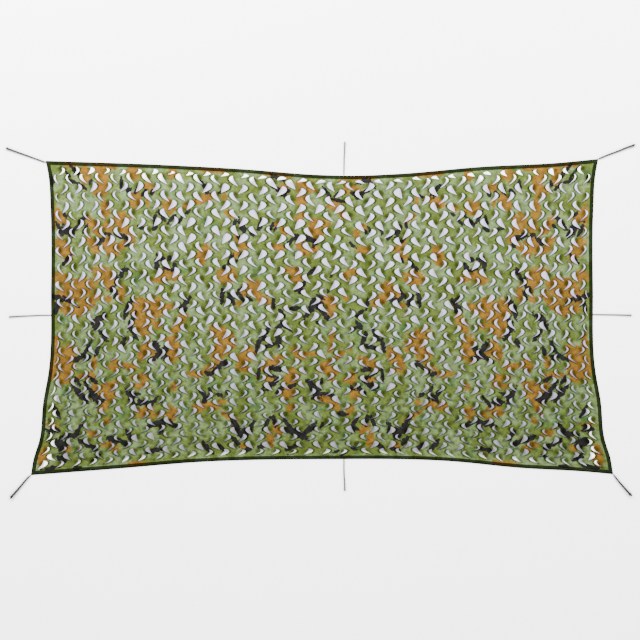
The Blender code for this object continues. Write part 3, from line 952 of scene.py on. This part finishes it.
def cloth_points(slits):
    """Points of the flat cloth: the hem's rings, the rims of the slits, then a grid between.

    Gives their shares across and down, their places in slits and rows, how near a rim each
    is, from 0 to 1, and how many belong to the hem."""
    hem = np.vstack([ring_shares(inset) for inset, _ in HEM_RINGS])
    rim_cut = np.vstack([slit["rim"] for slit in slits])
    rims = np.column_stack(cloth_shares(*rim_cut.T))
    grid, grid_cut, grid_gaps = grid_shares(panel_points(*rims.T))
    shares = np.vstack([hem, rims, grid])
    cut = np.vstack([np.full(hem.shape, FAR_FROM_SLITS), rim_cut, grid_cut])
    near_rim = np.concatenate([np.zeros(len(hem)), np.ones(len(rims)),
                               np.exp(-(grid_gaps / RIM_SHADE_REACH) ** 2)])
    return shares, cut, near_rim, len(hem)


def cloth_faces(places, slits, edge_count, first_rim):
    """Faces between the cloth's edge and the rims of its slits, through all the points."""
    loops = [np.arange(edge_count)]
    for slit in slits:
        loops.append(np.arange(first_rim, first_rim + len(slit["rim"])))
        first_rim = loops[-1][-1] + 1
    loops = [counter_clockwise(places, loop).tolist() for loop in loops]
    points = [Vector(place) for place in places]
    _, _, faces, sources, _, owners = delaunay_2d_cdt(points, [], loops, 1, SAME_PLACE)
    if not all(sources):
        raise ValueError("two slits cross")
    return [[sources[corner][0] for corner in face] for face, owner in zip(faces, owners)
            if max(owner) == 0]


def cloth_heights(places, shares, lift, dip):
    """Heights of the cloth: laid unevenly, with lifted tongues, and folded at its hem."""
    inset = edge_inset(*shares.T)
    free = np.clip((inset - HEM_SIDE) / HEM_SIDE_WIDTH, 0, 1)
    height = REST_HEIGHT + WAVE_HEIGHT * wavy(*places.T) - FAR_DIP * dip
    height = height + TONGUE_LIFT * lift * (HEM_SIDE_LIFT + (1 - HEM_SIDE_LIFT) * free)
    return np.maximum(hem_profile(inset, height), LEAST_HEIGHT)


def turned_hem(edge, first):
    """Points and faces of the hem's turn: from the cloth's edge it rolls over and runs back under.

    edge holds the indices of the cloth's outer ring, and first is the next free index."""
    outward = panel_points(*ring_shares(0.0).T) - panel_points(*ring_shares(ROLL_STEP).T)
    points = []
    shares = []
    faces = []
    for inset, height in HEM_UNDERSIDE:
        ring = ring_shares(inset).clip(0, 1)
        places = panel_points(*ring.T) + outward * max(-inset, 0.0) / ROLL_STEP
        points += [(*place, height) for place in places]
        shares.append(ring)
        following = list(range(first, first + len(ring)))
        for i, j in zip(range(len(ring)), [*range(1, len(ring)), 0]):
            faces.append([edge[i], edge[j], following[j], following[i]])
        edge = following
        first += len(ring)
    return np.array(points), np.vstack(shares), faces


def face_outward(mesh, top_count):
    """Makes a mesh's faces agree, with its first ones, the top of the cloth, facing up."""
    bm = bmesh.new()
    bm.from_mesh(mesh)
    bmesh.ops.recalc_face_normals(bm, faces=bm.faces)
    bm.faces.ensure_lookup_table()
    largest = max(bm.faces[:top_count], key=lambda face: face.calc_area())
    if largest.normal.z < 0:
        bmesh.ops.reverse_faces(bm, faces=bm.faces)
    bm.to_mesh(mesh)
    bm.free()


def net_cloth(material):
    slits = cut_slits()
    shares, cut, near_rim, hem_count = cloth_points(slits)
    places = panel_points(*shares.T)
    edge_count = len(ring_shares(0.0))
    top_faces = cloth_faces(places, slits, edge_count, hem_count)
    lift, dip, shade, far_shade_line = leaf_fields(cut, slits)
    heights = cloth_heights(places, shares, lift, dip)

    # points in a slit's opening belong to no face, so they are left out
    used, corners = np.unique(np.concatenate(top_faces), return_inverse=True)
    ends = np.cumsum([len(face) for face in top_faces])[:-1]
    top_faces = [face.tolist() for face in np.split(corners, ends)]
    under, under_shares, under_faces = turned_hem(list(range(edge_count)), len(used))
    vertices = np.vstack([np.column_stack([places[used], heights[used]]), under])
    mesh = bpy.data.meshes.new("net_cloth")
    mesh.from_pydata(vertices.tolist(), [], top_faces + under_faces)

    shares = np.vstack([shares[used], under_shares])
    none_under = np.zeros(len(under))
    fields = {
        "ochre": print_field(OCHRE_PATCHES, OCHRE_SPREAD, *shares.T),
        "black": print_field(BLACK_PATCHES, BLACK_SPREAD, *shares.T),
        # painted shade: spots on the tongues, lines along the far sides and bands at the rims
        "shade": np.concatenate([shade[used], none_under]),
        "edge": np.concatenate([far_shade_line[used], none_under]),
        "rim": np.concatenate([near_rim[used], none_under]),
        "hem": np.clip(1 - edge_inset(*shares.T) / HEM_BAND, 0, 1),
        "middle": np.exp(-((shares[:, 0] - 0.5) / MIDDLE_BAND) ** 2),
    }
    for name, values in fields.items():
        attribute = mesh.attributes.new(name, "FLOAT", "POINT")
        attribute.data.foreach_set("value", values.astype(np.float32))
    face_outward(mesh, len(top_faces))
    mesh.shade_smooth()
    cloth = new_object("net_cloth", mesh, material)
    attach(cloth, "root")
    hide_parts("net_panel")
    return cloth


# Hem stitches

STITCH_INSET = 0.0165
STITCH_PITCH = 0.005
STITCH_LENGTH = 0.0034
THREAD_THICKNESS = 0.0009
THREAD_RISE = 0.2  # thicknesses that a stitch's middle lies above the cloth
STITCH_SIDES = 6
STITCH_SCALES = ((0.85, 0.85, 0.85), (1.12, 1.12, 1.05))
STITCH_SEED = 4


def stitch_tree(thread):
    """Geometry Nodes: one sewn stitch after another along a line."""
    tree = bpy.data.node_groups.new("hem stitches", "GeometryNodeTree")
    tree.interface.new_socket("Geometry", in_out="INPUT", socket_type="NodeSocketGeometry")
    for name in ("Pitch", "Length", "Thickness"):
        tree.interface.new_socket(name, in_out="INPUT", socket_type="NodeSocketFloat")
    tree.interface.new_socket("Seed", in_out="INPUT", socket_type="NodeSocketInt")
    tree.interface.new_socket("Geometry", in_out="OUTPUT", socket_type="NodeSocketGeometry")
    add = partial(add_node, tree)
    sizes = add("NodeGroupInput").outputs
    line = add("GeometryNodeMeshToCurve", {"Mesh": sizes["Geometry"]})
    places = add("GeometryNodeResampleCurve", {"Curve": line.outputs[0], "Length": sizes["Pitch"]},
                 mode="LENGTH")
    radius = add("ShaderNodeMath", {0: sizes["Thickness"], 1: 0.5}, operation="MULTIPLY")
    stitch = add("GeometryNodeMeshCylinder", {"Vertices": STITCH_SIDES, "Radius": radius.outputs[0],
                                              "Depth": sizes["Length"]})
    heading = add("GeometryNodeInputTangent")
    turn = add("FunctionNodeAlignRotationToVector", {"Vector": heading.outputs[0]}, axis="Z")
    scale = add("FunctionNodeRandomValue", {"Min": STITCH_SCALES[0], "Max": STITCH_SCALES[1],
                                            "Seed": sizes["Seed"]}, data_type="FLOAT_VECTOR")
    each = add("GeometryNodeInstanceOnPoints",
               {"Points": places.outputs[0], "Instance": stitch.outputs["Mesh"],
                "Rotation": turn.outputs[0], "Scale": scale.outputs["Value"]})
    solid = add("GeometryNodeRealizeInstances", {"Geometry": each.outputs[0]})
    finish = add("GeometryNodeSetMaterial", {"Geometry": solid.outputs[0], "Material": thread})
    add("NodeGroupOutput", {"Geometry": finish.outputs[0]})
    return tree


def hem_stitches():
    """A row of stitches all round the hem, just outside its inner edge."""
    places = panel_points(*ring_shares(STITCH_INSET).T)
    height = float(hem_profile(STITCH_INSET, REST_HEIGHT)) + THREAD_RISE * THREAD_THICKNESS
    count = len(places)
    line = bpy.data.meshes.new("stitch_line")
    line.from_pydata([(*place, height) for place in places],
                     [(index, (index + 1) % count) for index in range(count)], [])
    guide = new_object("stitch_line", line)
    tree = stitch_tree(thread_finish())
    modifier = guide.modifiers.new("stitches", "NODES")
    modifier.node_group = tree
    values = {"Pitch": STITCH_PITCH, "Length": STITCH_LENGTH, "Thickness": THREAD_THICKNESS,
              "Seed": STITCH_SEED}
    for item in tree.interface.items_tree:
        if item.name in values:
            modifier[item.identifier] = values[item.name]
    graph = bpy.context.evaluated_depsgraph_get()
    mesh = bpy.data.meshes.new_from_object(guide.evaluated_get(graph))
    bpy.data.objects.remove(guide)
    stitches = new_object("hem_stitches", mesh)
    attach(stitches, "root")
    return stitches


# Floor and light

AMBIENT = 0.46
AMBIENT_COLOUR = (0.95, 0.96, 1.0, 1.0)
BACKDROP = 3.6
LAMPS = {
    "key": ((-2.3, 3.7, 3.0), 1.5, 800.0),  # place, width, watts
    "fill": ((2.7, 3.7, 3.0), 1.8, 580.0),
}
LAMP_COLOUR = (1.0, 0.98, 0.95)


def pale_floor():
    mesh = bpy.data.meshes.new("floor")
    corners = [(x * FLOOR_HALF, y * FLOOR_HALF, 0) for x, y in ((-1, -1), (1, -1), (1, 1), (-1, 1))]
    mesh.from_pydata(corners, [], [range(4)])
    floor = new_object("floor", mesh, floor_finish())


def soft_lamp(name, place, width, power):
    """A round soft lamp that faces the middle of the net."""
    data = bpy.data.lights.new(name, "AREA")
    data.shape = "DISK"
    data.size = width
    data.energy = power
    data.color = LAMP_COLOUR
    lamp = new_object(name, data)
    lamp.location = place
    lamp.rotation_euler = (-Vector(place)).to_track_quat("-Z", "Y").to_euler()


def studio_light():
    """Two lamps beyond the top of the net, a soft ambient light, and a pale backdrop."""
    world = bpy.data.worlds.new("studio")
    bpy.context.scene.world = world
    world.use_nodes = True
    tree = world.node_tree
    background = tree.nodes["Background"]
    background.inputs[0].default_value = AMBIENT_COLOUR
    seen = add_node(tree, "ShaderNodeLightPath").outputs["Is Camera Ray"]
    strength = add_node(tree, "ShaderNodeMapRange",
                        {"Value": seen, "To Min": AMBIENT, "To Max": BACKDROP})
    tree.links.new(strength.outputs[0], background.inputs[1])
    for name, lamp in LAMPS.items():
        soft_lamp(name, *lamp)


overhead_camera()
cord_finish = laid_cord_finish()
for side_name, (cord_diameter, cord_through) in CORDS.items():
    tie_cord(side_name, cord_diameter, cord_through, cord_finish)
cloth = net_cloth(printed_cloth())
stitches = hem_stitches()
pale_floor()
studio_light()
